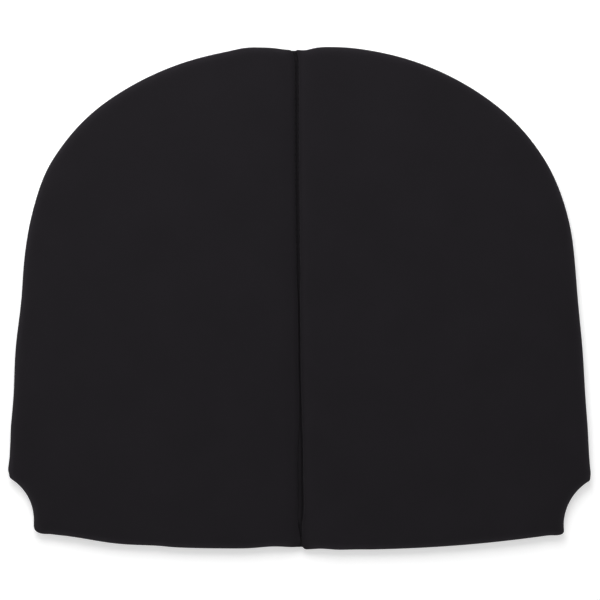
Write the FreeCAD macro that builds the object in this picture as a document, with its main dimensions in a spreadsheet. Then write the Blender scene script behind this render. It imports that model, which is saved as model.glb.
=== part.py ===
"""A folding padded mat: two foam-filled cloth halves joined by a tape along a fold line.

Frame: the mat lies flat, underside on z = 0. +X is to the right across the fold line, +Y points
to the domed end and -Y to the notched end. The origin is under the middle of the outline.
Millimetres and degrees.
"""

import FreeCAD, Part
import math
import os
import Sketcher

SIZES = {
    "mat_width": 466.0,  # over the two notch tips
    "mat_length": 402.0,  # from the rear edge to the top of the domes
    "mat_height": 12.0,
    "cloth_gauge": 0.8,
    "core_fit": 0.2,  # between a foam core and the cloth around it
    "rim_radius": 2.6,  # rounding of the upper and lower rims
    "seam_level": 5.0,  # top of the base cloths' rims
    "seam_allowance": 3.0,  # depth of the turned-in cloth edges
    "dome_radius": 232.0,
    "dome_end": 52.5,  # bearing, from the middle of a dome, of the point where its shoulder begins
    "shoulder_radius": 150.0,
    "side_radius": 2850.0,  # of the slight bow of the sides
    "side_lean": 3.1,  # of the sides where they reach the tips
    "tip_radius": 4.0,
    "notch_radius": 44.0,
    "notch_depth": 22.0,  # from the tips in to the rear corners
    "heel_radius": 5.0,
    "heel_straight": 2.0,  # between the rounding of a rear corner and its notch
    "rear_radius": 792.0,
    "rear_offset": 55.0,  # from the fold line to the rearmost point of each half
    "fold_gap": 2.6,  # between the two halves
    "fold_corner_radius": 5.0,
    "tape_gauge": 0.4,
    "tape_setback": 2.6,  # from the ends of the mat to the ends of the tape
    "thread_diameter": 0.4,
    "thread_fit": 0.05,  # beside thread and tape
    "stitch_length": 3.4,
    "stitch_pitch": 5.0,
    "tack_length": 8.0,  # of the bar tack at each end of the tape
    "tack_pitch": 0.8,
}

ALLOWANCE_INSET = "2 * sizes.cloth_gauge"
CORE_INSET = "2 * sizes.cloth_gauge + sizes.core_fit"
CORE_LEVEL = "sizes.cloth_gauge + sizes.core_fit"
DOME_TO_SHOULDER = "(sizes.dome_radius - sizes.shoulder_radius) * cos(sizes.dome_end * 1 deg)"
SIDE_TO_TIP = "(sizes.side_radius - sizes.tip_radius) * sin(sizes.side_lean * 1 deg)"
HEEL_X = "sizes.mat_width / 2 - sizes.notch_depth"
SEAM_GAP = "max(sizes.tape_gauge; sizes.thread_diameter) + 2 * sizes.thread_fit"
TOP_CLOTH_LEVEL = f"sizes.seam_level + {SEAM_GAP}"
TAPE_END = "sizes.mat_length / 2 - sizes.tape_setback"
ABOUT_Z = FreeCAD.Vector(0, 0, 1)
START, END, CENTRE = range(1, 4)  # the sketcher's numbers for the points of an edge
ORIGIN = (-1, START)  # of a sketch
CLOSE = 1e-4


def new_sizes(document):
    """Put the driving dimensions in a spreadsheet, one row each."""
    sheet = document.addObject("Spreadsheet::Sheet", "sizes")
    for row, (name, value) in enumerate(SIZES.items(), start=1):
        sheet.set(f"A{row}", name)
        sheet.set(f"B{row}", str(value))
        sheet.setAlias(f"B{row}", name)
    document.recompute()
    return sheet


def evaluate(document, expression):
    """The value of an expression over the sheet, as a plain number."""
    value = document.getObject("sizes").evalExpression(expression.replace("sizes.", ""))
    return float(getattr(value, "Value", value))


def outline_arcs(document, inset):
    """Centres and radii of the right half's outline, drawn in by inset, in the XY plane."""
    sheet = document.getObject("sizes")
    size = {name: float(sheet.get(name)) for name in SIZES}
    end = size["mat_length"] / 2
    corner = size["fold_corner_radius"]
    corner_x = size["fold_gap"] / 2 + corner
    heel_x = evaluate(document, HEEL_X) - size["heel_radius"]
    tip_x = size["mat_width"] / 2 - size["tip_radius"]

    rear = FreeCAD.Vector(size["rear_offset"], size["rear_radius"] - end)
    rear_corner = below(rear, corner_x, size["rear_radius"] - corner)
    heel = below(rear, heel_x, size["rear_radius"] - size["heel_radius"])
    notch_x = heel_x + size["heel_radius"] + size["notch_radius"]
    notch = FreeCAD.Vector(notch_x, heel.y + size["heel_straight"])
    tip = above(notch, tip_x, size["notch_radius"] + size["tip_radius"])

    side_y = tip.y - evaluate(document, SIDE_TO_TIP)
    side = before(tip, side_y, size["side_radius"] - size["tip_radius"])
    dome_y = end - size["dome_radius"]
    dome_reach = size["dome_radius"] - size["shoulder_radius"]
    shoulder_y = dome_y + dome_reach * math.sin(math.radians(size["dome_end"]))
    shoulder = beyond(side, shoulder_y, size["side_radius"] - size["shoulder_radius"])
    dome = before(shoulder, dome_y, dome_reach)
    front_corner = above(dome, corner_x, size["dome_radius"] - corner)
    return {
        "rear_corner": (rear_corner, corner - inset),
        "rear": (rear, size["rear_radius"] - inset),
        "heel": (heel, size["heel_radius"] - inset),
        "notch": (notch, size["notch_radius"] + inset),
        "tip": (tip, size["tip_radius"] - inset),
        "side": (side, size["side_radius"] - inset),
        "shoulder": (shoulder, size["shoulder_radius"] - inset),
        "dome": (dome, size["dome_radius"] - inset),
        "front_corner": (front_corner, corner - inset),
    }


def above(centre, x, distance):
    """The point at x that lies a distance from a centre, on its +Y side."""
    return FreeCAD.Vector(x, centre.y + math.sqrt(distance**2 - (x - centre.x) ** 2))


def below(centre, x, distance):
    """The point at x that lies a distance from a centre, on its -Y side."""
    return FreeCAD.Vector(x, centre.y - math.sqrt(distance**2 - (x - centre.x) ** 2))


def before(centre, y, distance):
    """The point at y that lies a distance from a centre, on its -X side."""
    return FreeCAD.Vector(centre.x - math.sqrt(distance**2 - (y - centre.y) ** 2), y)


def beyond(centre, y, distance):
    """The point at y that lies a distance from a centre, on its +X side."""
    return FreeCAD.Vector(centre.x + math.sqrt(distance**2 - (y - centre.y) ** 2), y)


def bearing(start, end):
    """Angle of the line from start to end, in radians."""
    return math.atan2(end.y - start.y, end.x - start.x)


def outline_edges(document, inset):
    """The outline's edges by name, counter-clockwise from the rear end of the fold line."""
    arcs = outline_arcs(document, inset)
    centre = {name: arc[0] for name, arc in arcs.items()}
    rear_start = bearing(centre["rear"], centre["rear_corner"])
    rear_end = bearing(centre["rear"], centre["heel"])
    tip_start = bearing(centre["tip"], centre["notch"])
    tip_end = bearing(centre["side"], centre["tip"])
    side_end = bearing(centre["side"], centre["shoulder"])
    shoulder_end = bearing(centre["dome"], centre["shoulder"])
    dome_end = bearing(centre["dome"], centre["front_corner"])
    spans = {
        "rear_corner": (-math.pi, rear_start),
        "rear": (rear_start, rear_end),
        "heel": (rear_end, 0.0),
        "notch": (tip_start + math.pi, math.pi),
        "tip": (tip_start, tip_end),
        "side": (tip_end, side_end),
        "shoulder": (side_end, shoulder_end),
        "dome": (shoulder_end, dome_end),
        "front_corner": (dome_end, math.pi),
    }
    edges = {}
    for name, (start, end) in spans.items():
        middle, radius = arcs[name]
        edges[name] = Part.ArcOfCircle(Part.Circle(middle, ABOUT_Z, radius), start, end)
    joins = {
        "heel_line": (edges["heel"].EndPoint, edges["notch"].EndPoint),
        "fold": (edges["front_corner"].EndPoint, edges["rear_corner"].StartPoint),
    }
    for name, (start, end) in joins.items():
        edges[name] = Part.LineSegment(start, end)
    order = ["rear_corner", "rear", "heel", "heel_line", "notch", "tip", "side", "shoulder"]
    order += ["dome", "front_corner", "fold"]
    return {name: edges[name] for name in order}


def outline_dimensions(edge, inset):
    """The outline's dimensions as (kind, references, expression); edge gives edges' numbers."""
    end = "sizes.mat_length / 2"
    radii = {
        "rear_corner": f"sizes.fold_corner_radius - ({inset})",
        "rear": f"sizes.rear_radius - ({inset})",
        "heel": f"sizes.heel_radius - ({inset})",
        "notch": f"sizes.notch_radius + {inset}",
        "tip": f"sizes.tip_radius - ({inset})",
        "side": f"sizes.side_radius - ({inset})",
        "shoulder": f"sizes.shoulder_radius - ({inset})",
        "dome": f"sizes.dome_radius - ({inset})",
        "front_corner": f"sizes.fold_corner_radius - ({inset})",
    }
    across = {
        "rear_corner": "sizes.fold_gap / 2 + sizes.fold_corner_radius",
        "rear": "sizes.rear_offset",
        "heel": f"{HEEL_X} - sizes.heel_radius",
        "tip": "sizes.mat_width / 2 - sizes.tip_radius",
    }
    along = {
        "rear": f"sizes.rear_radius - {end}",
        "dome": f"{end} - sizes.dome_radius",
    }
    dimensions = [("Radius", (edge[name],), size) for name, size in radii.items()]
    for name, size in across.items():
        dimensions.append(("DistanceX", ORIGIN + (edge[name], CENTRE), size))
    for name, size in along.items():
        dimensions.append(("DistanceY", ORIGIN + (edge[name], CENTRE), size))
    dome_to_shoulder = (edge["dome"], CENTRE, edge["shoulder"], CENTRE)
    dimensions.append(("DistanceX", dome_to_shoulder, DOME_TO_SHOULDER))
    side_to_tip = (edge["side"], CENTRE, edge["tip"], CENTRE)
    dimensions.append(("DistanceY", side_to_tip, SIDE_TO_TIP))
    dimensions.append(("Distance", (edge["heel_line"],), "sizes.heel_straight"))
    return dimensions


def add_outline(document, sketch, inset):
    """Draw the right half's outline in a sketch, drawn in by an inset expression."""
    edges = outline_edges(document, evaluate(document, inset))
    number = {name: sketch.addGeometry(edge, False) for name, edge in edges.items()}
    names = list(edges)
    for name, following in zip(names, names[1:] + names[:1]):
        end = START if name == "notch" else END
        start = END if following == "notch" else START
        touch = Sketcher.Constraint("Tangent", number[name], end, number[following], start)
        sketch.addConstraint(touch)
    sketch.addConstraint(Sketcher.Constraint("Vertical", number["fold"]))
    sketch.addConstraint(Sketcher.Constraint("Vertical", number["heel_line"]))
    for kind, references, expression in outline_dimensions(number, inset):
        add_dimension(document, sketch, kind, references, expression)


def add_dimension(document, sketch, kind, references, expression):
    """Add one dimension bound to the sheet."""
    value = evaluate(document, expression)
    index = sketch.addConstraint(Sketcher.Constraint(kind, *references, value))
    sketch.setExpression(f"Constraints[{index}]", expression)


def new_body(document, label):
    body = document.addObject("PartDesign::Body", label)
    body.Label = label
    return body


def new_sketch(body, name, level):
    """A sketch parallel to the floor, at a level given as an expression."""
    sketch = body.newObject("Sketcher::SketchObject", name)
    plane = next(f for f in body.Origin.OriginFeatures if f.Role == "XY_Plane")
    sketch.AttachmentSupport = (plane, "")
    sketch.MapMode = "FlatFace"
    sketch.setExpression("AttachmentOffset.Base.z", level)
    return sketch


def add_pad(document, body, name, level, height, insets):
    """Pad the outline, or the ring between two outlines, upwards from a level."""
    sketch = new_sketch(body, f"{name}_outline", level)
    for inset in insets:
        add_outline(document, sketch, inset)
    pad = body.newObject("PartDesign::Pad", name)
    pad.Profile = sketch
    pad.setExpression("Length", height)
    document.recompute()
    return pad


def edges_at(shape, level):
    """Names of the edges that lie in the plane z = level."""
    names = []
    for index, edge in enumerate(shape.Edges, start=1):
        box = edge.BoundBox
        if abs(box.ZMin - level) < CLOSE and abs(box.ZMax - level) < CLOSE:
            names.append(f"Edge{index}")
    return names


def face_at(shape, level):
    """Name of the flat face that lies in the plane z = level."""
    for index, face in enumerate(shape.Faces, start=1):
        box = face.BoundBox
        if abs(box.ZMin - level) < CLOSE and abs(box.ZMax - level) < CLOSE:
            return f"Face{index}"
    raise ValueError(f"no flat face at z = {level}")


def round_rims(document, body, solid, levels, radius):
    """Fillet every edge of a pad that lies at the given levels."""
    fillet = body.newObject("PartDesign::Fillet", f"{solid.Name}_rims")
    names = [name for level in levels for name in edges_at(solid.Shape, level)]
    fillet.Base = (solid, names)
    fillet.setExpression("Radius", radius)
    document.recompute()
    return fillet


def hollow_out(document, body, solid, mouth):
    """Turn a rounded pad into a cloth shell that is open at its mouth."""
    shell = body.newObject("PartDesign::Thickness", f"{solid.Name}_shell")
    shell.Base = (solid, [face_at(solid.Shape, mouth)])
    shell.setExpression("Value", "sizes.cloth_gauge")
    shell.Reversed = True
    document.recompute()
    return shell


def make_base_cloth(document):
    """The right underside: a shallow tray whose rim curls up to the seam."""
    body = new_body(document, "right_base_cloth")
    pad = add_pad(document, body, "base_panel", "0", "sizes.seam_level", ["0"])
    rounded = round_rims(document, body, pad, [0.0], "sizes.rim_radius")
    hollow_out(document, body, rounded, evaluate(document, "sizes.seam_level"))
    level = "sizes.seam_level - sizes.seam_allowance"
    insets = ["sizes.cloth_gauge / 2", ALLOWANCE_INSET]
    add_pad(document, body, "base_allowance", level, "sizes.seam_allowance", insets)
    return body


def make_top_cloth(document):
    """The right upper side: a tray upside down whose rim comes down to the seam."""
    body = new_body(document, "right_top_cloth")
    height = f"sizes.mat_height - ({TOP_CLOTH_LEVEL})"
    pad = add_pad(document, body, "top_panel", TOP_CLOTH_LEVEL, height, ["0"])
    upper = evaluate(document, "sizes.mat_height")
    rounded = round_rims(document, body, pad, [upper], "sizes.rim_radius")
    hollow_out(document, body, rounded, evaluate(document, TOP_CLOTH_LEVEL))
    insets = ["sizes.cloth_gauge / 2", ALLOWANCE_INSET]
    add_pad(document, body, "top_allowance", TOP_CLOTH_LEVEL, "sizes.seam_allowance", insets)
    return body


def make_foam_core(document):
    """The right foam sheet, which fills the cover."""
    body = new_body(document, "right_foam_core")
    height = f"sizes.mat_height - 2 * ({CORE_LEVEL})"
    pad = add_pad(document, body, "core_sheet", CORE_LEVEL, height, [CORE_INSET])
    lower = evaluate(document, CORE_LEVEL)
    upper = lower + evaluate(document, height)
    round_rims(document, body, pad, [lower, upper], "sizes.rim_radius - sizes.cloth_gauge")
    return body


def make_fold_tape(document):
    """The strip between the halves, with its edges caught in both seams."""
    tape = document.addObject("Part::Box", "fold_tape")
    tape.Label = "fold_tape"
    width = f"sizes.fold_gap + 2 * ({ALLOWANCE_INSET})"
    tape.setExpression("Length", width)
    tape.setExpression("Width", f"2 * ({TAPE_END})")
    tape.setExpression("Height", "sizes.tape_gauge")
    tape.setExpression("Placement.Base.x", f"-({width}) / 2")
    tape.setExpression("Placement.Base.y", f"-({TAPE_END})")
    tape.setExpression("Placement.Base.z", "sizes.seam_level + sizes.thread_fit")
    return tape


def thread(document, start, end):
    """One straight length of thread."""
    radius = evaluate(document, "sizes.thread_diameter / 2")
    return Part.makeCylinder(radius, start.distanceToPoint(end), start, end - start)


def new_threads(document, label, threads):
    """A sub-part made of separate lengths of thread."""
    feature = document.addObject("Part::Feature", label)
    feature.Label = label
    feature.Shape = Part.makeCompound(threads)
    feature.Placement = FreeCAD.Placement()
    return feature


def points_along(wire, distances):
    """Points at the given distances along a chain of edges."""
    points = []
    for distance in distances:
        for edge in wire.OrderedEdges:
            if distance <= edge.Length:
                break
            distance -= edge.Length
        parameter = edge.getParameterByLength(distance)
        if edge.Orientation == "Reversed":
            parameter = edge.getParameterByLength(edge.Length - distance)
        points.append(edge.valueAt(parameter))
    return points


def make_rim_stitches(document):
    """The thread that joins the two cloths of the right half, between their turned-in edges."""
    level = evaluate(document, f"sizes.seam_level + ({SEAM_GAP}) / 2")
    edges = outline_edges(document, evaluate(document, "sizes.cloth_gauge"))
    skipped = ("rear_corner", "front_corner", "fold")
    seam = Part.Wire([edge.toShape() for name, edge in edges.items() if name not in skipped])
    length = evaluate(document, "sizes.stitch_length")
    pitch = evaluate(document, "sizes.stitch_pitch")
    starts = [index * pitch for index in range(int((seam.Length - length) / pitch) + 1)]
    firsts = points_along(seam, starts)
    lasts = points_along(seam, [start + length for start in starts])
    raised = FreeCAD.Vector(0, 0, level)
    threads = [thread(document, a + raised, b + raised) for a, b in zip(firsts, lasts)]
    return new_threads(document, "right_rim_stitches", threads)


def thread_level(document):
    """Height of the middle of a thread that lies on the tape."""
    tape_top = "sizes.seam_level + sizes.thread_fit + sizes.tape_gauge"
    return evaluate(document, f"{tape_top} + sizes.thread_fit + sizes.thread_diameter / 2")


def make_fold_stitches(document):
    """The row of stitches that holds the tape along the foot of the right half."""
    x = evaluate(document, "sizes.fold_gap / 2 - sizes.thread_fit - sizes.thread_diameter / 2")
    z = thread_level(document)
    pitch = evaluate(document, "sizes.stitch_pitch")
    length = evaluate(document, "sizes.stitch_length")
    reach = evaluate(document, f"{TAPE_END} - sizes.tack_length")
    count = int(2 * reach / pitch)
    threads = []
    for index in range(count):
        y = (index - (count - 1) / 2) * pitch
        start = FreeCAD.Vector(x, y - length / 2, z)
        threads.append(thread(document, start, start + FreeCAD.Vector(0, length, 0)))
    return new_threads(document, "right_fold_stitches", threads)


def make_bar_tack(document, label, end):
    """Close rows of thread across the tape at its front (+1) or rear (-1) end."""
    half = evaluate(document, "sizes.fold_gap / 2 - sizes.thread_fit")
    z = thread_level(document)
    pitch = evaluate(document, "sizes.tack_pitch")
    tape_end = evaluate(document, TAPE_END)
    threads = []
    for index in range(int(evaluate(document, "sizes.tack_length") / pitch)):
        y = end * (tape_end - (index + 0.5) * pitch)
        threads.append(thread(document, FreeCAD.Vector(-half, y, z), FreeCAD.Vector(half, y, z)))
    return new_threads(document, label, threads)


def mirror_to_left(document, source):
    """The left half's copy of a sub-part of the right half."""
    label = source.Label.replace("right_", "left_")
    mirror = document.addObject("Part::Mirroring", label)
    mirror.Label = label
    mirror.Source = source
    mirror.Normal = FreeCAD.Vector(1, 0, 0)
    mirror.Base = FreeCAD.Vector(0, 0, 0)
    return mirror


def check(document, parts):
    """Stop if any object failed or any sub-part is not sound."""
    for item in document.Objects:
        if "Invalid" in item.State or "Error" in item.State:
            raise RuntimeError(f"{item.Label} failed: {item.State}")
    for part in parts:
        if part.Shape.isNull() or not part.Shape.isValid() or part.Shape.Volume <= 0:
            raise RuntimeError(f"{part.Label} is not a sound solid")


def write(parts):
    os.makedirs("parts", exist_ok=True)
    for part in parts:
        part.Shape.exportStep(f"parts/{part.Label}.step")


def main():
    document = FreeCAD.newDocument("folding_mat")
    new_sizes(document)
    makers = [make_base_cloth, make_top_cloth, make_foam_core, make_rim_stitches]
    makers.append(make_fold_stitches)
    right = [maker(document) for maker in makers]
    left = [mirror_to_left(document, part) for part in right]
    shared = [
        make_fold_tape(document),
        make_bar_tack(document, "front_bar_tack", 1),
        make_bar_tack(document, "rear_bar_tack", -1),
    ]
    parts = right + left + shared
    document.recompute()
    check(document, parts)
    write(parts)


main()
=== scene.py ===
import math

import bpy
import numpy as np
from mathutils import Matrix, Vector
from mathutils.geometry import delaunay_2d_cdt
from mathutils.kdtree import KDTree

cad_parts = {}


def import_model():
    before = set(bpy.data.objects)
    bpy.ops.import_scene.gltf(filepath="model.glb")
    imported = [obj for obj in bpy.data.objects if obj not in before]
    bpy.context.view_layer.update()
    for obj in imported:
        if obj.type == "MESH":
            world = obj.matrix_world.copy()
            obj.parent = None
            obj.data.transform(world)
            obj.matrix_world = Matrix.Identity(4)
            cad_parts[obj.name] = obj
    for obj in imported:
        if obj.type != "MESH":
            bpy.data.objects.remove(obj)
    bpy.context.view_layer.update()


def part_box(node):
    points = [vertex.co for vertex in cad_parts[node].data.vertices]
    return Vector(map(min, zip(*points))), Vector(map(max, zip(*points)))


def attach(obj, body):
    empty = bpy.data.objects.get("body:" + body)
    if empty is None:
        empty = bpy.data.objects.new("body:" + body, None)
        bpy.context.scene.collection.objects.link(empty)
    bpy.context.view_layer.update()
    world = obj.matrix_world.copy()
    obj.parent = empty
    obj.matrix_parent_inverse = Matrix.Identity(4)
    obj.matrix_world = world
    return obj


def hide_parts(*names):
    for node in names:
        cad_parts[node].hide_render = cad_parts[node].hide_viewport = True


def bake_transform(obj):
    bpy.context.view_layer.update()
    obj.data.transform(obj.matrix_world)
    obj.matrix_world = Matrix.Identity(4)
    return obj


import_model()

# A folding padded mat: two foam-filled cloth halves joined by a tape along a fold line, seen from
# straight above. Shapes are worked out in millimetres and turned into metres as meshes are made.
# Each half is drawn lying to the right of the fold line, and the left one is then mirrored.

MM = 0.001
SIDES = {"left": -1, "right": 1}  # the halves, and the sign of X on each
FOLD_CORNER = 3.0  # radius of a half's two corners at the fold
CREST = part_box("left_top_cloth")[1][2] / MM  # as high as the top cloth swells
CLOTH_GAUGE = 0.8
SEAM_Z = 5.25  # level of the rim seams and of the middle of the tape
SEAM_DEPTH, SEAM_MARGIN = 0.72, 6.0  # in from the outline, and from each end of the seam
TAPE_GAUGE = 0.4
TAPE_EDGE, TAPE_END = (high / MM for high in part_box("fold_tape")[1][:2])
STITCH, PITCH = 3.4, 5.0  # the length of a stitch, and from one to the next
THREAD, THREAD_SIDES = 0.2, 8  # its radius, and the faces round it
FOLD_THREAD_Z, TACK_Z, TACK_THREADS = 5.72, 5.75, 10

# Each half's outline: the radii of its arcs, what places them, and the gap between the crease and
# the half's edge.
HALVES = {
    "left": dict(gap=0.5, front=200.5, rear=199.4, dome=233.5, dome_end=55.0, shoulder=152.5,
                 side=2200.0, lean=2.0, tip_x=232.0, tip=5.0, notch=38.0, heel_x=212.2, heel=5.0,
                 heel_straight=5.0, rear_arc=820.0, rear_x=61.5),
    "right": dict(gap=1.25, front=201.0, rear=200.3, dome=220.0, dome_end=52.5, shoulder=162.0,
                  side=3400.0, lean=2.7, tip_x=232.3, tip=3.0, notch=41.5, heel_x=211.0, heel=2.6,
                  heel_straight=3.6, rear_arc=1110.0, rear_x=40.5),
}
# How each half's sewn edge leaves those arcs: it is drawn in where the front meets the fold, full
# beyond that, at the heel and at the tip, gathered beside the rear end of the fold, and wavy along
# the side and the rear.
EDGES = {
    "left": dict(drawn=1.0, drawn_at=5, front_full=1.0, heel_full=1.0, tip_full=1.0, wave=0.5,
                 rear_wave=0.5, gather=1.0, gather_pitch=46),
    "right": dict(drawn=2.0, drawn_at=9, front_full=0.5, heel_full=1.0, tip_full=0.5, wave=0.2,
                  rear_wave=0.0, gather=0.5, gather_pitch=30),
}
# Along the fold: how softly the cloth turns down, and how far its shoulder slumps.
FOLD_EDGE = {"left": (1.5, 1.2), "right": (1.1, 0.3)}
FOAM_INSET = 1.9  # from a half's outline to its foam
FOAM_MIDDLE = 5.5
FOAM_EDGE = (1.0, 0.0, 0.0)  # foam runs along the fold as it does elsewhere
# Spacing of a mesh's points along its outline and over its panel.
FINE, COARSE, FOAM_SPACING = (1.6, 3.6), (6.0, 7.0), (2.4, 6.0)
RIM_END = 1.2  # how far in a rim's rings run; the panel starts there
# Further rings of points in a panel: how far in, and which of the outline's points each repeats,
# every one, every second or every third.
PANEL_RINGS = ((1.9, 1), (3.0, 1), (4.4, 2), (6.2, 2), (8.5, 3), (11.5, 3))
PANEL_GRID_FROM = 13
TRIANGLE = 0.866  # height of the grid's triangles, for a side of 1
TOUCH = 0.02  # a ring's point may be this much too near the outline
HELD_TO = 3.2  # how far in a sheet is held while it swells
SWELL_CAP = 1.2  # swells well above this all come out alike
SIDE_WAVE, REAR_WAVE = 75, 70  # lengths of the waves in the sewn edge


def section(turned, start, level, reach, levelling, steepness, steps=9, crowding=2.2):
    """A rim's cross-section as distances in from the outline and heights: its turned-in edge, then
    a curve that leaves its outermost point upright and ends level."""
    spots = [reach * (step / steps) ** crowding for step in range(steps + 1)]
    return turned + [(d, start + (level - start) * (1 - (1 - d / reach) ** levelling) ** steepness)
                     for d in spots]


TOP_RIM = section([(2.3, 5.5), (1.4, 5.48), (0.75, 5.45), (0.3, 5.6), (0.08, 6.1)],
                  6.8, 11.42, 11.5, 2.5, 0.42)
BASE_RIM = section([(2.3, 5.0), (1.4, 5.02), (0.75, 5.05), (0.3, 4.9), (0.08, 4.4)],
                   3.7, 0.0, 7.5, 3.5, 0.5)
FOAM_TOP = section([], FOAM_MIDDLE, 10.25, 11.5, 5.0, 0.21)
FOAM_BASE = section([], FOAM_MIDDLE, 0.9, 11.5, 6.0, 0.185)


def smooth(t):
    """Rises gently from 0 to 1 while t does."""
    t = np.clip(t, 0, 1)
    return t * t * (3 - 2 * t)


def bell(distance, width):
    """1 at no distance, and next to nothing two widths away."""
    return np.exp(-(distance / width) ** 2)


# ---------------------------------------------------------------- outlines

# above() and below() give the point at x that lies a reach from a centre, before() and beyond() the
# one at y.

def above(centre, x, reach):
    return np.array([x, centre[1] + math.sqrt(reach**2 - (x - centre[0]) ** 2)])


def below(centre, x, reach):
    return np.array([x, centre[1] - math.sqrt(reach**2 - (x - centre[0]) ** 2)])


def before(centre, y, reach):
    return np.array([centre[0] - math.sqrt(reach**2 - (y - centre[1]) ** 2), y])


def beyond(centre, y, reach):
    return np.array([centre[0] + math.sqrt(reach**2 - (y - centre[1]) ** 2), y])


def bearing(a, b):
    return math.atan2(b[1] - a[1], b[0] - a[0])


def arc(centre, radius, start, end, step):
    n = max(2, round(abs(end - start) * radius / min(step, 0.35 * radius)))
    a = np.linspace(start, end, n, endpoint=False)
    return np.c_[centre[0] + radius * np.cos(a), centre[1] + radius * np.sin(a)]


def line(a, b, step):
    n = max(1, round(math.dist(a, b) / step))
    return np.linspace(a, b, n, endpoint=False)


def outline(name, step):
    """Points round one half, counter-clockwise from the rear end of its fold edge, their normals,
    and how many of them lie off that edge."""
    size = HALVES[name]
    rear = np.array([size["rear_x"], size["rear_arc"] - size["rear"]])
    corner_x = size["gap"] + FOLD_CORNER
    rear_corner = below(rear, corner_x, size["rear_arc"] - FOLD_CORNER)
    heel = below(rear, size["heel_x"] - size["heel"], size["rear_arc"] - size["heel"])
    notch = np.array([size["heel_x"] + size["notch"], heel[1] + size["heel_straight"]])
    tip = above(notch, size["tip_x"] - size["tip"], size["notch"] + size["tip"])
    reach = size["side"] - size["tip"]
    side = before(tip, tip[1] - reach * math.sin(math.radians(size["lean"])), reach)
    dome_y = size["front"] - size["dome"]
    reach = size["dome"] - size["shoulder"]
    shoulder_y = dome_y + reach * math.sin(math.radians(size["dome_end"]))
    shoulder = beyond(side, shoulder_y, size["side"] - size["shoulder"])
    dome = before(shoulder, dome_y, reach)
    front_corner = above(dome, corner_x, size["dome"] - FOLD_CORNER)
    to_rear = bearing(rear, rear_corner) + math.tau
    to_heel = bearing(rear, heel) + math.tau
    to_notch, to_side = bearing(tip, notch), bearing(side, tip)
    to_shoulder, to_dome = bearing(side, shoulder), bearing(dome, shoulder)
    to_corner = bearing(dome, front_corner)
    runs = [
        arc(rear_corner, FOLD_CORNER, math.pi, to_rear, step),
        arc(rear, size["rear_arc"], to_rear, to_heel, step),
        arc(heel, size["heel"], to_heel, math.tau, step),
        line(heel + (size["heel"], 0), notch - (size["notch"], 0), step),
        arc(notch, size["notch"], math.pi, to_notch + math.pi, step),
        arc(tip, size["tip"], to_notch, to_side, step),
        arc(side, size["side"], to_side, to_shoulder, step),
        arc(shoulder, size["shoulder"], to_shoulder, to_dome, step),
        arc(dome, size["dome"], to_dome, to_corner, step),
        arc(front_corner, FOLD_CORNER, to_corner, math.pi, step),
        line(front_corner - (FOLD_CORNER, 0), rear_corner - (FOLD_CORNER, 0), step),
    ]
    points = np.vstack(runs)
    points = points + normals(points) * fullness(name, points, heel, tip)[:, None]
    return points, normals(points), sum(len(run) for run in runs[:-1])


def fullness(name, points, heel, tip):
    """How far the sewn edge stands out from its arcs at each point."""
    edge = EDGES[name]
    x, y = points.T
    front, rear = smooth(y / 20), smooth((-170 - y) / 10)
    heel_corner = heel - (2, HALVES[name]["heel"])
    beside_tip = smooth((y - tip[1]) / 4)
    side_wave = (smooth((x - 185) / 20) * smooth((y + 115) / 20)
                 * np.cos((y - 72) * math.tau / SIDE_WAVE))
    rear_wave = (smooth((x - 95) / 20) * smooth((200 - x) / 15)
                 * np.cos((x - 146) * math.tau / REAR_WAVE))
    gather = bell(x, 35) * np.cos((x - 3) * math.tau / edge["gather_pitch"])
    return (front * (edge["front_full"] * bell(x - 40, 15)
                     - edge["drawn"] * bell(x - edge["drawn_at"], 8))
            + rear * (edge["gather"] * gather + edge["rear_wave"] * rear_wave)
            + edge["heel_full"] * bell(np.hypot(*(points - heel_corner).T), 5)
            + edge["tip_full"] * bell(np.hypot(*(points - tip).T) - 4, 7) * beside_tip
            - edge["wave"] * side_wave)


def normals(points):
    """Outward unit normals of a closed line that runs counter-clockwise."""
    along = np.roll(points, -1, 0) - np.roll(points, 1, 0)
    out = np.c_[along[:, 1], -along[:, 0]]
    return out / np.hypot(*out.T)[:, None]


def inset(points, out, distance, step):
    """A line a distance inside an outline, evenly spaced and with its corners eased."""
    inner = points - out * distance
    gap, _ = distance_in(inner, points, out)
    inner = inner[gap > distance - TOUCH]
    closed = np.vstack([inner, inner[:1]])
    run = np.r_[0, np.cumsum(np.hypot(*np.diff(closed, axis=0).T))]
    at = np.linspace(0, run[-1], round(run[-1] / step), endpoint=False)
    even = np.c_[np.interp(at, run, closed[:, 0]), np.interp(at, run, closed[:, 1])]
    for _ in range(4):
        even = even / 2 + (np.roll(even, 1, 0) + np.roll(even, -1, 0)) / 4
    return even, normals(even)


def distance_in(points, line_points, line_normals, batch=2000):
    """How far each point lies from a closed line, and the normal of the line there."""
    nearest = np.empty(len(points), int)
    for i in range(0, len(points), batch):
        gap = points[i:i + batch, None] - line_points[None]
        nearest[i:i + batch] = (gap**2).sum(2).argmin(1)
    best = np.full(len(points), np.inf)
    for other in (-1, 1):
        a = line_points[nearest]
        b = line_points[(nearest + other) % len(line_points)]
        t = np.clip(((points - a) * (b - a)).sum(1) / ((b - a) ** 2).sum(1), 0, 1)
        best = np.minimum(best, np.hypot(*(points - a - (b - a) * t[:, None]).T))
    return best, line_normals[nearest]


# ---------------------------------------------------------------- the crease

def crease(y):
    """X of the fold line, which the sewing leaves slightly askew and hooked at both ends."""
    return (-0.15 - 2.45 * np.tanh((y + 25) / 105) - 3.2 * bell(y - 202, 7)
            - 0.75 * bell(y + 62, 40) - 1.1 * smooth((-164 - y) / 22))


def opening(y, sign=-1):
    """How much further a half's edge lies from the crease towards the rear."""
    if sign > 0:
        return 0.3 * smooth((-125 - y) / 50)
    return 2.9 * smooth((-78 - y) / 60) * (1 - 0.8 * smooth((-178 - y) / 16))


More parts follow.
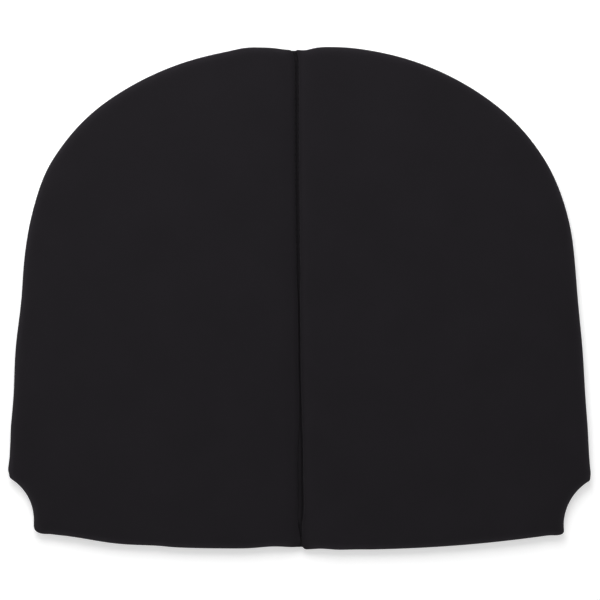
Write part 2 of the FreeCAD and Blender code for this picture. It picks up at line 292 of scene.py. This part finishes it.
def set_crease(co, sign):
    """Moves points near the fold line over to the crease, and lets its two ends sag."""
    x, y = np.abs(co[:, 0]), co[:, 1]
    co[:, 0] += crease(y) * (1 - smooth((x - 10) / 55))
    co[:, 0] += sign * opening(y, sign) * (1 - smooth((x - 1.2) / 14))
    sag = 0.9 * bell(x, 9) * bell(y - 203, 12) + 3.2 * bell(x, 6.5) * bell(y + 203, 21)
    co[:, 2] -= sag * smooth((co[:, 2] - 5.6) / 4)
    return co


# ---------------------------------------------------------------- meshes

def new_piece(name, co, faces, uv=None, attributes=None, smooth_faces=True):
    """An object from points in millimetres, with where each lies on the flat cloth and with point
    attributes."""
    mesh = bpy.data.meshes.new(name)
    mesh.from_pydata([tuple(p) for p in np.asarray(co) * MM], [], faces)
    mesh.validate()
    if smooth_faces:
        mesh.polygons.foreach_set("use_smooth", [True] * len(mesh.polygons))
    corners = np.empty(len(mesh.loops), int)
    mesh.loops.foreach_get("vertex_index", corners)
    if uv is not None:
        layer = mesh.uv_layers.new(name="cloth")
        layer.data.foreach_set("uv", (np.asarray(uv)[corners] * MM).astype(np.float32).ravel())
    for key, values in (attributes or {}).items():
        mesh.attributes.new(key, "FLOAT", "POINT").data.foreach_set(
            "value", np.asarray(values, np.float32))
    mesh.update()
    piece = bpy.data.objects.new(name, mesh)
    bpy.context.scene.collection.objects.link(piece)
    return piece


def applied(piece):
    """Applies the piece's modifiers to its mesh."""
    graph = bpy.context.evaluated_depsgraph_get()
    mesh = bpy.data.meshes.new_from_object(piece.evaluated_get(graph))
    old, name = piece.data, piece.name
    piece.modifiers.clear()
    piece.data = mesh
    bpy.data.meshes.remove(old)
    mesh.name = name


def fold_edge(name, top):
    """How a half's upper or lower cloth runs along the fold: its turn, its slump, and whether its
    ends are softer still."""
    turn, slump = FOLD_EDGE[name]
    return (turn, slump, 1.0) if top else (turn, 0.0, 0.0)


def rim_height(rim, distance, spots, fold):
    """Height of the cloth at a distance in from the outline, which it turns down to over more or
    less room along the fold than elsewhere, and over most at the two ends of the fold."""
    turn, slump, ends = fold
    rim = np.array(rim[rim.index(min(rim)) :])
    x, y = spots[:, 0], spots[:, 1]
    turn = turn + ends * (2.2 * bell(y + 199, 17) + 0.7 * bell(y - 199, 10))
    room = turn + (1 - turn) * smooth((x - 5) / 14)
    height = np.interp(distance / room, rim[:, 0], rim[:, 1])
    slump = slump * (0.3 + 0.7 * bell(y + 45, 55)) * (1 - smooth((x - 4) / 4))
    return height - slump * bell(distance - 1.5, 1.5) * smooth(distance / 0.8)


def sheet_mesh(points, out, rim, grid, fold):
    """A half's upper or lower sheet: its turned-in edge, rim and panel. Returns the points, the
    faces, where each point lies on the flat cloth, its distance in from the outline, and how many
    points the rim has."""
    n = len(points)
    turned = rim[: rim.index(min(rim))]
    rising = [d for d, _ in rim[len(turned):] if d < RIM_END] + [RIM_END]
    rings = [np.c_[points - out * d, np.full(n, z)] for d, z in turned]
    for d in rising:
        ring = points - out * d
        height = rim_height(rim, np.full(n, d), ring, fold) if d else rim[len(turned)][1]
        rings.append(np.c_[ring, np.broadcast_to(height, n)])
    co = np.vstack(rings)
    faces = []
    for r in range(len(rings) - 1):
        for i in range(n):
            j = (i + 1) % n
            faces.append((r * n + i, r * n + j, (r + 1) * n + j, (r + 1) * n + i))

    # The panel: more rings, then a grid of triangles, joined by a Delaunay triangulation.
    spots = [rings[-1][:, :2]]
    for d, every in PANEL_RINGS:
        ring = (points - out * d)[::every]
        gap, _ = distance_in(ring, points, out)
        spots.append(ring[gap > d - TOUCH])
    low, high = points.min(0), points.max(0)
    rows = np.arange(low[1], high[1], grid * TRIANGLE)
    cells = np.array([(x + (k % 2) * grid / 2, y) for k, y in enumerate(rows)
                      for x in np.arange(low[0], high[0], grid)])
    gap, _ = distance_in(cells, points, out)
    inside = np.array([encloses(points, p) for p in cells]) & (gap > PANEL_GRID_FROM)
    spots.append(cells[inside])
    made = delaunay_2d_cdt([Vector(p) for p in np.vstack(spots)],
                           [(i, (i + 1) % n) for i in range(n)], [], 1, 1e-5)
    panel = np.array([tuple(v) for v in made[0]])
    gap, _ = distance_in(panel, points, out)
    height = rim_height(rim, gap, panel, fold)
    base = len(co)
    index, added = [], []
    for spot, z, origins in zip(panel, height, made[3]):
        on_ring = next((k for k in origins if k < n), None)
        if on_ring is None:
            index.append(base + len(added))
            added.append((*spot, z))
        else:
            index.append((len(rings) - 1) * n + on_ring)
    co = np.vstack([co, added])
    faces += [tuple(index[v] for v in face) for face in made[2]]

    # Each panel point takes the mean height of its neighbours twice, for soft corners.
    pairs = np.array([(face[i], face[i - 1]) for face in faces[-len(made[2]):]
                      for i in range(3)])
    for _ in range(2):
        total, count = np.zeros(len(co)), np.zeros(len(co))
        for a, b in (pairs.T, pairs.T[::-1]):
            np.add.at(total, a, co[b, 2])
            np.add.at(count, a, 1)
        co[base:, 2] += 0.5 * (total[base:] / count[base:] - co[base:, 2])

    gap, lie = distance_in(co[:, :2], points, out)
    return co, faces, uv_of(co, gap, lie, rim, len(turned), n), gap, len(rings) * n


def encloses(ring, point):
    """Whether the point lies inside the ring."""
    a, b = ring, np.roll(ring, -1, 0)
    crosses = (a[:, 1] > point[1]) != (b[:, 1] > point[1])
    a, b = a[crosses], b[crosses]
    x = a[:, 0] + (point[1] - a[:, 1]) / (b[:, 1] - a[:, 1]) * (b[:, 0] - a[:, 0])
    return (x > point[0]).sum() % 2 == 1


def uv_of(co, gap, lie, rim, turned, n):
    """Where each point lies on the cloth laid flat, so that the weave runs on over the rim."""
    steps = np.array(rim)
    run = np.r_[0, np.cumsum(np.hypot(*np.diff(steps, axis=0).T))]
    total = run[-1]
    outer = turned + int(np.argmin(steps[turned:, 0]))
    length = np.interp(gap, steps[outer:, 0], total - run[outer:])
    flat = np.minimum(gap, steps[-1, 0])
    for r in range(outer):
        length[r * n:(r + 1) * n] = total - run[r]
    return co[:, :2] + lie * (length - (steps[-1, 0] - flat))[:, None]


# ---------------------------------------------------------------- cloth simulation

def blown(name, co, faces, held, frames=20):
    """Lets a sheet of cloth swell over its foam, and returns how far each point moved."""
    piece = new_piece(name, co, faces)
    piece.vertex_groups.new(name="held").add(np.flatnonzero(held).tolist(), 1.0, "REPLACE")
    cloth = piece.modifiers.new("cloth", "CLOTH")
    for key, value in dict(
            quality=8, mass=0.12, tension_stiffness=30, compression_stiffness=30,
            shear_stiffness=15, bending_stiffness=0.8, air_damping=4, use_pressure=True,
            uniform_pressure_force=4, vertex_group_mass="held").items():
        setattr(cloth.settings, key, value)
    cloth.settings.effector_weights.gravity = 0
    cloth.point_cache.frame_start, cloth.point_cache.frame_end = 1, frames
    for frame_number in range(1, frames + 1):
        bpy.context.scene.frame_set(frame_number)
    swollen = piece.evaluated_get(bpy.context.evaluated_depsgraph_get())
    after = np.array([v.co for v in swollen.to_mesh().vertices]) / MM
    swollen.to_mesh_clear()
    bpy.context.scene.frame_set(1)
    mesh = piece.data
    bpy.data.objects.remove(piece)
    bpy.data.meshes.remove(mesh)
    return after - co


def carried(source, moved, target):
    """The movement of the coarse sheet's points, spread over a finer sheet."""
    tree = KDTree(len(source))
    for i, p in enumerate(source):
        tree.insert(Vector(p), i)
    tree.balance()
    result = np.zeros_like(target)
    for i, p in enumerate(target):
        near = tree.find_n(Vector(p), 5)
        w = np.array([1 / (d + 0.8) ** 2 for _, _, d in near])
        result[i] = (moved[[k for _, k, _ in near]] * w[:, None]).sum(0) / w.sum()
    return result


def ripple(x, y, seed):
    """Faint unevenness of cloth over foam: a few long waves at odd angles."""
    rng = np.random.default_rng(seed)
    total = np.zeros(len(x))
    for _ in range(9):
        angle, length, phase = rng.uniform(0, math.pi), rng.uniform(45, 130), rng.uniform(0, 6.3)
        total += np.sin((x * math.cos(angle) + y * math.sin(angle)) * math.tau / length + phase)
    return total / 9


def puckers(x, y, seed):
    """Small gathers that run in from the fold seam and die out over a couple of centimetres."""
    rng = np.random.default_rng(seed)
    total = np.zeros(len(x))
    for place in np.arange(-185, 190, 11.0):
        place += rng.uniform(-4, 4)
        height, width, reach = rng.uniform(-1, 1), rng.uniform(2.5, 5), rng.uniform(7, 17)
        lean = rng.uniform(-0.25, 0.25)
        total += height * bell(y - place - lean * np.abs(x), width) * bell(np.abs(x), reach)
    return total * smooth((np.abs(x) - 1.5) / 3)


# ---------------------------------------------------------------- materials

SHEEN_TINT = (0.93, 0.85, 0.96, 1)


class Nodes:
    """Short names for building the node tree of a material or the world."""

    def __init__(self, owner, shader="Principled BSDF"):
        self.owner = owner
        owner.use_nodes = True
        self.tree = owner.node_tree
        self.shader = self.tree.nodes[shader]

    def new(self, kind, **sockets):
        node = self.tree.nodes.new("ShaderNode" + kind)
        for key, value in sockets.items():
            if hasattr(node, key):
                setattr(node, key, value)
            else:
                self.put(node.inputs[key.replace("_", " ")], value)
        return node

    def put(self, socket, value):
        if isinstance(value, bpy.types.NodeSocket):
            self.tree.links.new(value, socket)
        else:
            socket.default_value = value

    def sum(self, operation, a, b, c=0.0):
        node = self.new("Math", operation=operation)
        for socket, value in zip(node.inputs, (a, b, c)):
            self.put(socket, value)
        return node.outputs[0]

    def spread(self, value, low, high, to_low, to_high):
        node = self.new("MapRange", interpolation_type="SMOOTHSTEP")
        for key, v in (("Value", value), ("From Min", low), ("From Max", high),
                       ("To Min", to_low), ("To Max", to_high)):
            self.put(node.inputs[key], v)
        return node.outputs["Result"]

    def noise(self, where, scale, detail=2.0, roughness=0.5):
        node = self.new("TexNoise", Scale=scale, Detail=detail, Roughness=roughness)
        self.put(node.inputs["Vector"], where)
        return node.outputs["Fac"]

    def shade(self, colour, factor, low, high):
        """The colour times a factor spread from low to high."""
        node = self.new("Mix", data_type="RGBA")
        self.put(node.inputs[0], factor)
        self.put(node.inputs[6], (*[c * low for c in colour], 1))
        self.put(node.inputs[7], (*[c * high for c in colour], 1))
        return node.outputs[2]

    def seen(self):
        """1 for what a camera, gloss or glass sees, and 0 for what gives light."""
        path = self.new("LightPath").outputs
        return self.sum("MAXIMUM", path["Is Camera Ray"],
                        self.sum("MAXIMUM", path["Is Glossy Ray"], path["Is Transmission Ray"]))

    def bump(self, height, strength, distance, under=None):
        node = self.new("Bump", Strength=strength, Distance=distance, Height=height)
        if under is not None:
            self.put(node.inputs["Normal"], under)
        return node.outputs["Normal"]

    def flat_cloth(self):
        """Where a point lies on the cloth laid flat: both ways, across it and along it."""
        uv = self.new("UVMap", uv_map="cloth").outputs["UV"]
        axes = self.new("SeparateXYZ")
        self.put(axes.inputs[0], uv)
        return uv, axes.outputs[0], axes.outputs[1]

    def waves(self, where, length):
        """Waves of a length in metres, from -1 to 1."""
        return self.sum("SINE", self.sum("MULTIPLY", where, math.tau / length), 0)

    def surfaced(self, colour, roughness, normal, specular, sheen=0.0, sheen_roughness=0.5):
        """Gives the shader its surface, and returns the material."""
        for key, value in (("Base Color", colour), ("Roughness", roughness), ("Normal", normal),
                           ("Specular IOR Level", specular), ("Sheen Weight", sheen),
                           ("Sheen Tint", SHEEN_TINT), ("Sheen Roughness", sheen_roughness)):
            self.put(self.shader.inputs[key], value)
        return self.owner


def cloth_material(name, colour, pitch, sheen, roughness, weave_depth):
    """Closely woven matt cloth: over-and-under yarns, slubs, a faint mottle, and rims made lighter
    partly by wear and partly by a painted highlight.
    """
    k = Nodes(bpy.data.materials.new(name))
    uv, across_it, along_it = k.flat_cloth()
    over = k.sum("MULTIPLY", k.waves(across_it, pitch), k.waves(along_it, pitch))
    yarns = k.sum("MULTIPLY_ADD", over, 0.5, 0.5)  # 1 where the warp is on top, 0 where the weft is
    slub = k.noise(uv, 900, 3, 0.6)
    mottle = k.noise(uv, 22, 4, 0.55)
    # Lighter rims: partly wear, partly a painted highlight where the rounded edges catch the light.
    wear_and_rim_highlight = k.new("Attribute", attribute_name="wear_and_rim_highlight").outputs["Fac"]
    wear_and_highlight = k.sum("MULTIPLY", wear_and_rim_highlight, k.spread(k.noise(uv, 260, 4, 0.65), 0.35, 0.7, 0.4, 1.0))
    tone = k.sum("ADD", k.sum("MULTIPLY_ADD", mottle, 0.5, 0.25),
                 k.sum("MULTIPLY_ADD", slub, 0.3, -0.15))
    tone = k.sum("ADD", tone, k.sum("MULTIPLY_ADD", yarns, 0.5, -0.25))
    tone = k.sum("ADD", tone, k.sum("MULTIPLY", wear_and_highlight, 0.5))
    matt = k.sum("ADD", slub, k.sum("MULTIPLY", wear_and_highlight, -0.3))
    weave = k.sum("ADD", yarns, k.sum("MULTIPLY", slub, 0.5))
    return k.surfaced(k.shade(colour, tone, 0.6, 1.4),
                      k.spread(matt, 0.1, 0.9, roughness - 0.07, roughness + 0.05),
                      k.bump(mottle, 0.12, 0.0006, k.bump(weave, weave_depth, 0.00012)),
                      0.105, sheen, 0.45)


def thread_material(colour, ply=0.0009, twist=0.0006):
    """Twisted polyester sewing thread. Its plies' spacing along it and round it is in metres."""
    k = Nodes(bpy.data.materials.new("thread_twist"))
    uv, along_it, round_it = k.flat_cloth()
    turn = k.sum("ADD", k.sum("MULTIPLY", along_it, math.tau / ply),
                 k.sum("MULTIPLY", round_it, math.tau / twist))
    plies = k.sum("MULTIPLY_ADD", k.sum("SINE", turn, 0), 0.5, 0.5)
    fibre = k.noise(uv, 4000, 2, 0.6)
    tone = k.sum("MULTIPLY_ADD", fibre, 0.4, k.sum("MULTIPLY", plies, 0.6))
    return k.surfaced(k.shade(colour, tone, 0.6, 1.35), k.spread(fibre, 0.2, 0.8, 0.55, 0.75),
                      k.bump(plies, 0.5, 0.00006), 0.2, 0.05)


def tape_material(colour, ribs=0.0009, yarns=0.0004):
    """Ribbed woven tape, its ribs across its length. Their and its yarns' spacing is in metres."""
    k = Nodes(bpy.data.materials.new("tape_rib"))
    uv, across_it, along_it = k.flat_cloth()
    yarn = k.sum("MULTIPLY_ADD", k.waves(across_it, yarns), 0.15, 0.5)
    weave = k.sum("MULTIPLY_ADD", k.waves(along_it, ribs), 0.35, yarn)
    fuzz = k.noise(uv, 1500, 3, 0.6)
    tone = k.sum("MULTIPLY_ADD", fuzz, 0.5, k.sum("MULTIPLY", weave, 0.5))
    return k.surfaced(k.shade(colour, tone, 0.65, 1.3), k.spread(fuzz, 0.2, 0.8, 0.8, 0.95),
                      k.bump(weave, 0.5, 0.0001), 0.12, 0.03)


def foam_material(colour):
    """Closed-cell foam: fine cells, broken here and there."""
    k = Nodes(bpy.data.materials.new("foam_cells"))
    where = k.new("TexCoord").outputs["Object"]
    cells = k.new("TexVoronoi", Scale=900.0)
    k.put(cells.inputs["Vector"], where)
    cell = cells.outputs["Distance"]
    mottle = k.noise(where, 60, 3, 0.6)
    tone = k.sum("MULTIPLY_ADD", mottle, 0.5, k.sum("MULTIPLY", cell, 0.5))
    return k.surfaced(k.shade(colour, tone, 0.6, 1.3), k.spread(mottle, 0.2, 0.8, 0.85, 0.98),
                      k.bump(cell, 0.6, 0.0003), 0.2)


FACE = cloth_material("face_weave", (0.0094, 0.0082, 0.0102), pitch=0.56 * MM, sheen=0.05,
                      roughness=0.88, weave_depth=0.8)
BASE = cloth_material("base_weave", (0.0085, 0.0078, 0.0090), pitch=0.9 * MM, sheen=0.04,
                      roughness=0.9, weave_depth=0.9)
THREADS = thread_material((0.0090, 0.0080, 0.0096))
# The tape's colour is darker than the cloth's, partly as painted shade for the deep groove it lies
# in.
TAPE = tape_material((0.0062, 0.0053, 0.0067))
FOAM = foam_material((0.030, 0.030, 0.032))


def finished(piece, material, slot, body, *nodes):
    """Gives a piece its material, and puts it in place of its CAD nodes."""
    piece.data.materials.clear()
    piece.data.materials.append(material)
    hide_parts(*nodes)
    if body:
        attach(piece, body)


# ---------------------------------------------------------------- camera

# It looks straight down. VIEW_WIDTH is what its picture takes in at the height of the rims.
LENS, SENSOR, VIEW_WIDTH, RIM_LEVEL = 110.0, 36.0, 0.47924, 0.0067
camera = bpy.data.objects.new("camera", bpy.data.cameras.new("camera"))
camera.data.lens, camera.data.sensor_width = LENS, SENSOR
camera.location = (0.00042, -0.00095, RIM_LEVEL + VIEW_WIDTH * LENS / SENSOR)
camera.data.clip_start, camera.data.clip_end = 0.01, 50
bpy.context.scene.collection.objects.link(camera)
bpy.context.scene.camera = camera


# ---------------------------------------------------------------- covers

def mirrored(co, faces, sign):
    """The half on its own side of the fold line."""
    co = co * (sign, 1, 1)
    return co, [face[::-1] for face in faces] if sign < 0 else faces


def swelling(name, rim, fold, co):
    """How far each point of a half's top cloth moves as the cloth swells over the foam."""
    step, grid = COARSE
    coarse, faces, _, gap, rim_points = sheet_mesh(*outline(name, step)[:2], rim, grid, fold)
    held = (np.arange(len(coarse)) < rim_points) | (gap < HELD_TO)
    return carried(coarse, blown("swelling", coarse, faces, held), co)


def make_cover(name, sign, top):
    """A half's upper or lower cloth: its rim, crown and unevenness, with its gauge inwards."""
    part, rim = ("top", TOP_RIM) if top else ("base", BASE_RIM)
    step, grid = FINE
    points, out, _ = outline(name, step)
    fold = fold_edge(name, top)
    co, faces, uv, gap, _ = sheet_mesh(points, out, rim, grid, fold)
    if top:
        room = CREST - np.array(rim)[:, 1].max()
        swell = np.maximum(swelling(name, rim, fold, co)[:, 2], 0)
        panel = smooth((gap - 3) / 20)
        co[:, 2] += room * np.tanh(swell / SWELL_CAP) * panel
        flaws = 0.10 * ripple(co[:, 0], co[:, 1], 5 + sign) * panel
        flaws += 0.16 * puckers(co[:, 0], co[:, 1], 11 + sign) * smooth(gap / 2)
        co[:, 2] = np.minimum(co[:, 2] + flaws * smooth((co[:, 2] - 7) / 3), CREST)
    else:
        faces = [face[::-1] for face in faces]
    # A painted highlight along the rounded rims, partly wear: the cloth there gets a lighter tone.
    wear_and_rim_highlight = bell(gap - 2.0, 2.2) * smooth((co[:, 0] - 2) / 8) * (1.0 if top else 0.6)
    co, faces = mirrored(co, faces, sign)
    piece = new_piece(f"{name}_{part}_cover", set_crease(co, sign), faces, uv * (sign, 1),
                      {"wear_and_rim_highlight": wear_and_rim_highlight})
    thick = piece.modifiers.new("gauge", "SOLIDIFY")
    thick.thickness, thick.offset = CLOTH_GAUGE * MM, -1
    applied(piece)
    finished(piece, FACE if top else BASE, "face_cloth" if top else "base_cloth",
             f"{name}_half", f"{name}_{part}_cloth")


def make_foam(name, sign):
    """The foam sheet in a half: a little smaller than its cloth, crowned, with soft rims."""
    step, grid = FOAM_SPACING
    points, out = inset(*outline(name, step / 2)[:2], FOAM_INSET, step)
    layers, faces, total = [], [], 0
    for rim, cover, way, crown in ((FOAM_TOP, TOP_RIM, 1, 0.25), (FOAM_BASE, BASE_RIM, -1, 0.0)):
        co, its_faces, _, gap, _ = sheet_mesh(points, out, rim, grid, FOAM_EDGE)
        co[:, 2] += crown * smooth(gap / 60)
        # It stays clear of its cloth, which takes up more height where it slopes.
        cloth = rim_height(cover, gap + FOAM_INSET, co, fold_edge(name, way > 0))
        cloth_height = 1.1 + 1.1 * (1 - smooth(gap / 9)) * (1 - smooth((co[:, 0] - 12) / 10))
        cloth_height += 1.2 * bell(co[:, 1] + 196, 9) * (1 - smooth((co[:, 0] - 4) / 8))
        room = np.maximum(way * (cloth - FOAM_MIDDLE) - cloth_height, 0.3)
        co[:, 2] = FOAM_MIDDLE + way * np.clip(way * (co[:, 2] - FOAM_MIDDLE), 0, room)
        layers.append(co)
        faces += [tuple(total + v for v in face[::way]) for face in its_faces]
        total += len(co)
    co, faces = mirrored(np.vstack(layers), faces, sign)
    co = set_crease(co, sign)
    piece = new_piece(f"{name}_foam", co, faces, co[:, :2])
    piece.modifiers.new("weld", "WELD").merge_threshold = 0.01 * MM
    applied(piece)
    finished(piece, FOAM, "foam", f"{name}_half", f"{name}_foam_core")


# ---------------------------------------------------------------- threads and tape

def tubes(name, paths):
    """Short threads, each a tube along its own path, with its ends drawn in."""
    co, faces, uv = [], [], []
    around = np.linspace(0, math.tau, THREAD_SIDES, endpoint=False)
    for path in paths:
        path = np.array(path, float)
        run = np.r_[0, np.cumsum(np.hypot(*np.diff(path[:, :2], axis=0).T))]
        along = np.gradient(path, axis=0)
        along /= np.linalg.norm(along, axis=1)[:, None]
        side = np.cross(along, (0, 0, 1))
        side /= np.linalg.norm(side, axis=1)[:, None]
        rise = np.cross(side, along)
        first, last = len(co), len(path) - 1
        for k in range(last + 1):
            radius = THREAD * (0.45 if k in (0, last) else 1.0)
            co += list(path[k] + radius * (np.cos(around)[:, None] * side[k]
                                           + np.sin(around)[:, None] * rise[k]))
            uv += [(run[k], THREAD * a) for a in around]
        for k in range(last):
            a, b = first + k * THREAD_SIDES, first + (k + 1) * THREAD_SIDES
            for i in range(THREAD_SIDES):
                j = (i + 1) % THREAD_SIDES
                faces.append((a + i, a + j, b + j, b + i))
        faces.append(tuple(first + i for i in reversed(range(THREAD_SIDES))))
        faces.append(tuple(first + last * THREAD_SIDES + i for i in range(THREAD_SIDES)))
    return new_piece(name, co, faces, uv)


def stitch(a, b, dip, out):
    """A stitch from a to b that rises out of the cloth and goes back in: out is its way out."""
    t = np.array([0, 0.06, 0.2, 0.5, 0.8, 0.94, 1])
    depth = np.array([1, 0.45, 0.08, 0, 0.08, 0.45, 1]) * dip
    return a + (b - a) * t[:, None] - np.array(out) * depth[:, None]


def make_rim_threads(name, sign):
    """The line of stitches that closes a half's rim, sunk in its seam."""
    points, out, count = outline(name, 1.0)
    points, out = points[:count], out[:count]
    run = np.r_[0, np.cumsum(np.hypot(*np.diff(points, axis=0).T))]
    paths = []
    for k, start in enumerate(np.arange(SEAM_MARGIN, run[-1] - SEAM_MARGIN - STITCH, PITCH)):
        slant = 0.05 * math.sin(2.4 * k)
        ends = []
        for place, way in ((start, 1), (start + STITCH, -1)):
            spot = [np.interp(place, run, points[:, i]) for i in (0, 1)]
            facing = np.array([np.interp(place, run, out[:, i]) for i in (0, 1)])
            ends.append((*(spot - facing * SEAM_DEPTH), SEAM_Z + way * slant))
        a, b = np.array(ends) * (sign, 1, 1)
        paths.append(set_crease(stitch(a, b, 0.7, (*(facing * (sign, 1)), 0)), sign))
    finished(tubes(f"{name}_rim_thread", paths), THREADS, "thread", f"{name}_half",
             f"{name}_rim_stitches")


def make_fold_threads(name, sign):
    """The line of stitches that holds a half to the tape."""
    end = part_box(f"{name}_fold_stitches")[1][1] / MM
    paths = []
    for k, y in enumerate(np.arange(-end, end - STITCH + 0.01, PITCH)):
        x = sign * (HALVES[name]["gap"] + 0.45 + 0.06 * math.sin(1.9 * k))
        a, b = np.array([(x, y, FOLD_THREAD_Z), (x, y + STITCH, FOLD_THREAD_Z)])
        paths.append(set_crease(stitch(a, b, 0.35, (0, 0, 1)), sign))
    finished(tubes(f"{name}_fold_thread", paths), THREADS, "thread", f"{name}_half",
             f"{name}_fold_stitches")


def across(x, y):
    """X of a point of the tape or a tack, which span the opening on both sides of the crease."""
    return x + crease(y) - np.where(x < 0, opening(y) * smooth(-x / 1.2), 0)


def turning(piece):
    """Bakes the placement of a piece that spans the crease into its mesh."""
    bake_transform(piece)


def hump(x, centre, reach):
    """1 at a centre, and 0 from a reach away on."""
    return np.cos(np.clip((x - centre) / reach, -1, 1) * math.pi / 2) ** 1.5


def tape_rise(x, y):
    """How far the tape stands up from flat. The two halves press it down where they are close, and
    up where they open and just in front of that. Near its rear end it sinks again."""
    wide = smooth(opening(y) / 1.5)
    down = (1.4 - 0.7 * bell(y + 62, 40)) * (1 - wide) * (1 - smooth((y - 182) / 8))
    up = 0.3 * wide + 0.75 * opening(y) * (1 - smooth((-170 - y) / 12)) - 1.4 * bell(y + 187, 7)
    up += 1.3 * bell(y + 62, 34)
    return up * hump(x, -0.5, 0.9) - down * hump(x, 0.2, 0.75)


def make_tape():
    """The woven tape along the crease, with more columns of points where it bends."""
    columns = np.r_[-TAPE_EDGE, np.linspace(-1.4, 1.4, 15), TAPE_EDGE]
    rows = np.linspace(-TAPE_END, TAPE_END, 250)
    x, y = (grid.ravel() for grid in np.meshgrid(columns, rows))
    wander = 0.25 * np.sin(y / 7.3) + 0.2 * np.sin(y / 17.0 + 1)
    top = np.c_[across(x, y), y, SEAM_Z + TAPE_GAUGE / 2 + tape_rise(x, y) * (1 + wander)]
    bottom = top - (0, 0, TAPE_GAUGE)
    wide, long, total = len(columns), len(rows), len(x)
    faces = []
    for r in range(long - 1):
        for c in range(wide - 1):
            a = r * wide + c
            faces.append((a, a + 1, a + wide + 1, a + wide))
            faces.append(tuple(total + v for v in (a, a + wide, a + wide + 1, a + 1)))
    # The points of the tape's top along its edge, all the way round.
    edge = (list(range(wide)) + [r * wide + wide - 1 for r in range(1, long)]
            + [(long - 1) * wide + c for c in range(wide - 2, -1, -1)]
            + [r * wide for r in range(long - 2, 0, -1)])
    for a, b in zip(edge, edge[1:] + edge[:1]):
        faces.append((a, total + a, total + b, b))
    piece = new_piece("fold_web", np.vstack([top, bottom]), faces, np.tile(np.c_[x, y], (2, 1)))
    finished(piece, TAPE, "tape", None, "fold_tape")
    turning(piece)


def make_tack(name, node):
    """A bar tack: close threads side by side across the crease."""
    rear, front = (corner[1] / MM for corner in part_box(node))
    x = np.linspace(-1.25, 1.25, 9)
    paths = []
    for k, y in enumerate(np.linspace(rear + THREAD, front - THREAD, TACK_THREADS)):
        paths.append(np.c_[across(x, np.full(len(x), y)), y + 0.09 * np.sin(x + k),
                           TACK_Z + tape_rise(x, y) * 1.15])
    piece = tubes(name, paths)
    finished(piece, THREADS, "thread", None, node)
    turning(piece)


for name, sign in SIDES.items():
    make_cover(name, sign, True)
    make_cover(name, sign, False)
    make_foam(name, sign)
    make_rim_threads(name, sign)
    make_fold_threads(name, sign)
make_tape()
make_tack("front_tack", "front_bar_tack")
make_tack("rear_tack", "rear_bar_tack")

# ---------------------------------------------------------------- floor and light

FLOOR_WHITE, SKY = 0.82, 0.32
NEAR_GLOW, FAR_GLOW = 0.45, 1 - FLOOR_WHITE * SKY
FLOOR_REACH, FLOOR_Z = 4000, -0.4  # millimetres


def floor_material():
    """Plain white floor, which takes the mat's shadow near it. A lens, gloss or glass sees the far
    floor as white as the backdrop."""
    k = Nodes(bpy.data.materials.new("floor_white"))
    k.tree.nodes.remove(k.shader)
    matt = k.new("BsdfDiffuse", Color=(FLOOR_WHITE, FLOOR_WHITE, FLOOR_WHITE, 1))
    glow = k.new("Emission", Color=(1, 1, 1, 1))
    away = k.new("VectorMath", operation="LENGTH")
    k.put(away.inputs[0], k.new("TexCoord").outputs["Object"])
    k.put(glow.inputs["Strength"],
          k.sum("MULTIPLY", k.seen(),
                k.spread(away.outputs["Value"], 0.3, 0.9, NEAR_GLOW, FAR_GLOW)))
    both = k.new("AddShader")
    k.put(both.inputs[0], matt.outputs[0])
    k.put(both.inputs[1], glow.outputs[0])
    clear = k.new("BsdfTransparent")
    from_below = k.new("MixShader")
    k.put(from_below.inputs[0], k.new("NewGeometry").outputs["Backfacing"])
    k.put(from_below.inputs[1], both.outputs[0])
    k.put(from_below.inputs[2], clear.outputs[0])
    k.put(k.tree.nodes["Material Output"].inputs["Surface"], from_below.outputs[0])
    return k.owner


corners = [(x * FLOOR_REACH, y * FLOOR_REACH, FLOOR_Z)
           for x, y in ((-1, -1), (1, -1), (1, 1), (-1, 1))]
floor = new_piece("floor", corners, [(0, 1, 2, 3)], smooth_faces=False)
floor.data.materials.append(floor_material())
floor.visible_shadow = False  # so that the lamp below it lights the underside


def soft_light(name, place, power, size=0.8, height=0.2, aim=(0, 0, 0.02)):
    """An area lamp at a place in metres, turned to its aim. Its power is in watts."""
    lamp = bpy.data.objects.new(name, bpy.data.lights.new(name, "AREA"))
    lamp.data.shape, lamp.data.size, lamp.data.size_y = "RECTANGLE", size, height
    lamp.data.energy = power
    lamp.location = place
    lamp.rotation_mode = "QUATERNION"
    lamp.rotation_quaternion = (Vector(aim) - Vector(place)).to_track_quat("-Z", "Y")
    bpy.context.scene.collection.objects.link(lamp)


soft_light("softbox", (-0.16, 0.75, 0.9), 10.8, 0.75, 0.75, (0, 0, 0))
soft_light("left_strip", (-1.27, 0.35, 0.15), 5.8)
soft_light("right_strip", (1.2, 0.5, 0.15), 2.8)
soft_light("rear_strip", (0.05, -1.35, 0.15), 5.4)
soft_light("under_light", (0.5, 0.5, -1.1), 16, 0.9, 0.9, (0, 0, 0))
world = bpy.data.worlds.new("studio")
bpy.context.scene.world = world
k = Nodes(world, "Background")
k.put(k.shader.inputs["Color"], (1, 1, 1, 1))
# Seen directly or in gloss or glass the backdrop is white, as the far floor is, so that the two run
# together.
k.put(k.shader.inputs["Strength"], k.sum("MULTIPLY_ADD", k.seen(), 1 - SKY, SKY))
bpy.context.scene.view_settings.view_transform = "Standard"
